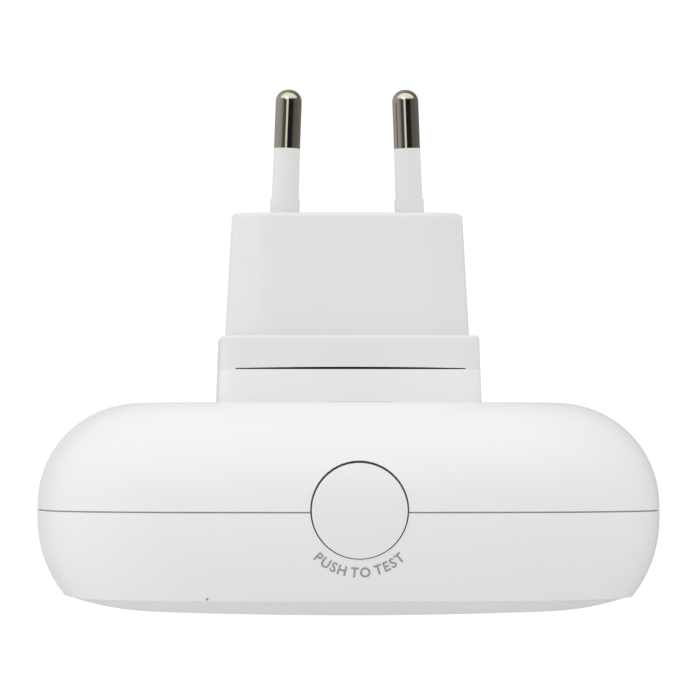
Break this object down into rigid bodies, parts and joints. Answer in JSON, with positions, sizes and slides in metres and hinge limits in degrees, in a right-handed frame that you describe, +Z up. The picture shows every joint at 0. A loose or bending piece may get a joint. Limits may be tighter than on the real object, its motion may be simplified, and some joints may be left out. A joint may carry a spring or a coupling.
{
  "type": "plug-in carbon monoxide alarm",
  "caption": "Plug-in carbon monoxide alarm: rounded square two-shell body with domed dimpled front, Europlug pins on a pedestal at the back and a round test button on its top edge.",
  "frame": {"origin": "centre of the plug's engagement face, between the pins", "axes": "+Z up as plugged in, +Y along the pins towards the wall, +X to the right seen from the room"},
  "size_m": [0.0944, 0.0799, 0.0946],
  "materials": {
    "white_case": "fine satin moulded, off-white",
    "panel_white": "dimpled, satin white",
    "button_white": "smooth satin white",
    "sleeve_white": "soft insulating sleeve",
    "pin_nickel": "bright nickel plate",
    "seal_dark": "matt dark seal",
    "lens_smoke": "tinted polycarbonate",
    "light_pipe": "clear acrylic",
    "filter_felt": "fine felt",
    "foam_grey": "closed-cell foam",
    "label_silver": "satin polyester label",
    "sticker_white": "printed paper sticker",
    "screw_steel": "zinc plated",
    "contact_brass": "rolled strip",
    "board_green": "solder mask over glass fibre",
    "ferrite": "sintered, matt",
    "bobbin_black": "glass-filled nylon",
    "winding_tape": "yellow polyester tape",
    "capacitor_sleeve": "heat-shrink sleeve",
    "capacitor_yellow": "moulded box",
    "varistor_blue": "epoxy lacquer",
    "chip_black": "moulded epoxy",
    "sounder_black": "moulded",
    "disc_brass": "thin disc",
    "cell_white": "moulded cell body",
    "cap_steel": "drawn stainless cap",
    "led_green": "diffused lamp",
    "led_amber": "diffused lamp",
    "led_red": "diffused lamp"
  },
  "bodies": {
    "root": {"rear_cover": "white_case", "front_cover": "white_case", "front_panel": "panel_white", "indicator_lens": "lens_smoke", "light_guide": "light_pipe", "dust_filter": "filter_felt", "rating_label": "label_silver", "inspection_sticker": "sticker_white", "housing_screws": "screw_steel", "plug_body": "white_case", "plug_gasket": "seal_dark", "plug_screws": "screw_steel", "live_pin": "pin_nickel", "neutral_pin": "pin_nickel", "live_pin_sleeve": "sleeve_white", "neutral_pin_sleeve": "sleeve_white", "live_contact_strip": "contact_brass", "neutral_contact_strip": "contact_brass", "switch_body": "chip_black", "switch_frame": "cap_steel", "main_board": "board_green", "board_screws": "screw_steel", "transformer_core": "ferrite", "transformer_bobbin": "bobbin_black", "transformer_winding": "winding_tape", "bulk_capacitor": "capacitor_sleeve", "output_capacitor": "capacitor_sleeve", "safety_capacitor": "capacitor_yellow", "filter_inductor": "ferrite", "fuse": "chip_black", "surge_varistor": "varistor_blue", "bridge_rectifier": "chip_black", "converter_chip": "chip_black", "controller_chip": "chip_black", "small_parts": "chip_black", "power_led": "led_green", "fault_led": "led_amber", "alarm_led": "led_red", "sounder_housing": "sounder_black", "piezo_disc": "disc_brass", "sounder_gasket": "foam_grey", "sensor_cell": "cell_white", "sensor_cap": "cap_steel"},
    "test_button": {"test_button": "button_white"},
    "switch_plunger": {"switch_plunger": "bobbin_black"}
  },
  "joints": [
    {"name": "button_press", "type": "slide", "parent": "root", "child": "test_button", "axis": [0, 0, -1], "range_m": [0, 0.0005], "stiffness_N_per_m": 1500, "springref_m": -0.0003},
    {"name": "plunger_press", "type": "slide", "parent": "root", "child": "switch_plunger", "axis": [0, 0, -1], "range_m": [0, 0.0005]}
  ],
  "couplings": [
    {"joint": "plunger_press", "follows": "button_press", "ratio": 1}
  ]
}
